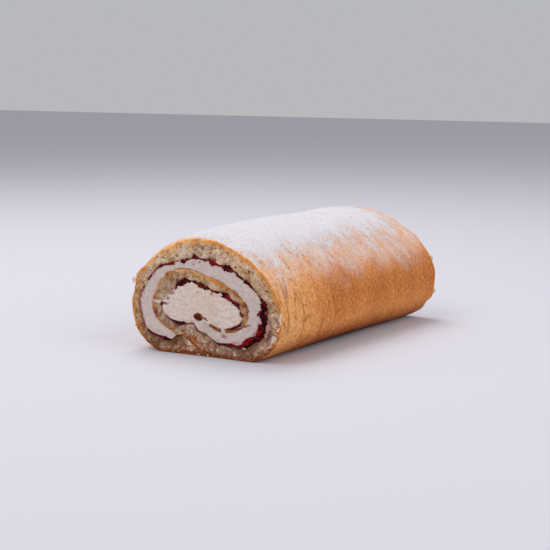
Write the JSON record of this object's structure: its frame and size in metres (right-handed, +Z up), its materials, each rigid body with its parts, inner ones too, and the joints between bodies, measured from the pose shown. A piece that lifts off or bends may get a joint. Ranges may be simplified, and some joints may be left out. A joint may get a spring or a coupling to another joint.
{
  "type": "swiss roll cake",
  "caption": "Cut swiss roll cake: a rolled sponge sheet with dark berry jam and pale cream spiralling through it, lying flat on its seam.",
  "frame": {"origin": "middle of the box's base, on the surface the roll lies on", "axes": "+Y along the roll, away from the better seen cut end; +Z up; +X to the right when looking along +Y"},
  "size_m": [0.1038, 0.188, 0.0719],
  "materials": {
    "sponge": "golden baked crust with icing sugar outside, pale open crumb at the cuts",
    "jam": "wet dark berry jam",
    "cream": "smooth soft cream, slightly moist"
  },
  "bodies": {
    "root": {"sponge": "sponge", "jam": "jam", "cream": "cream"}
  },
  "joints": []
}
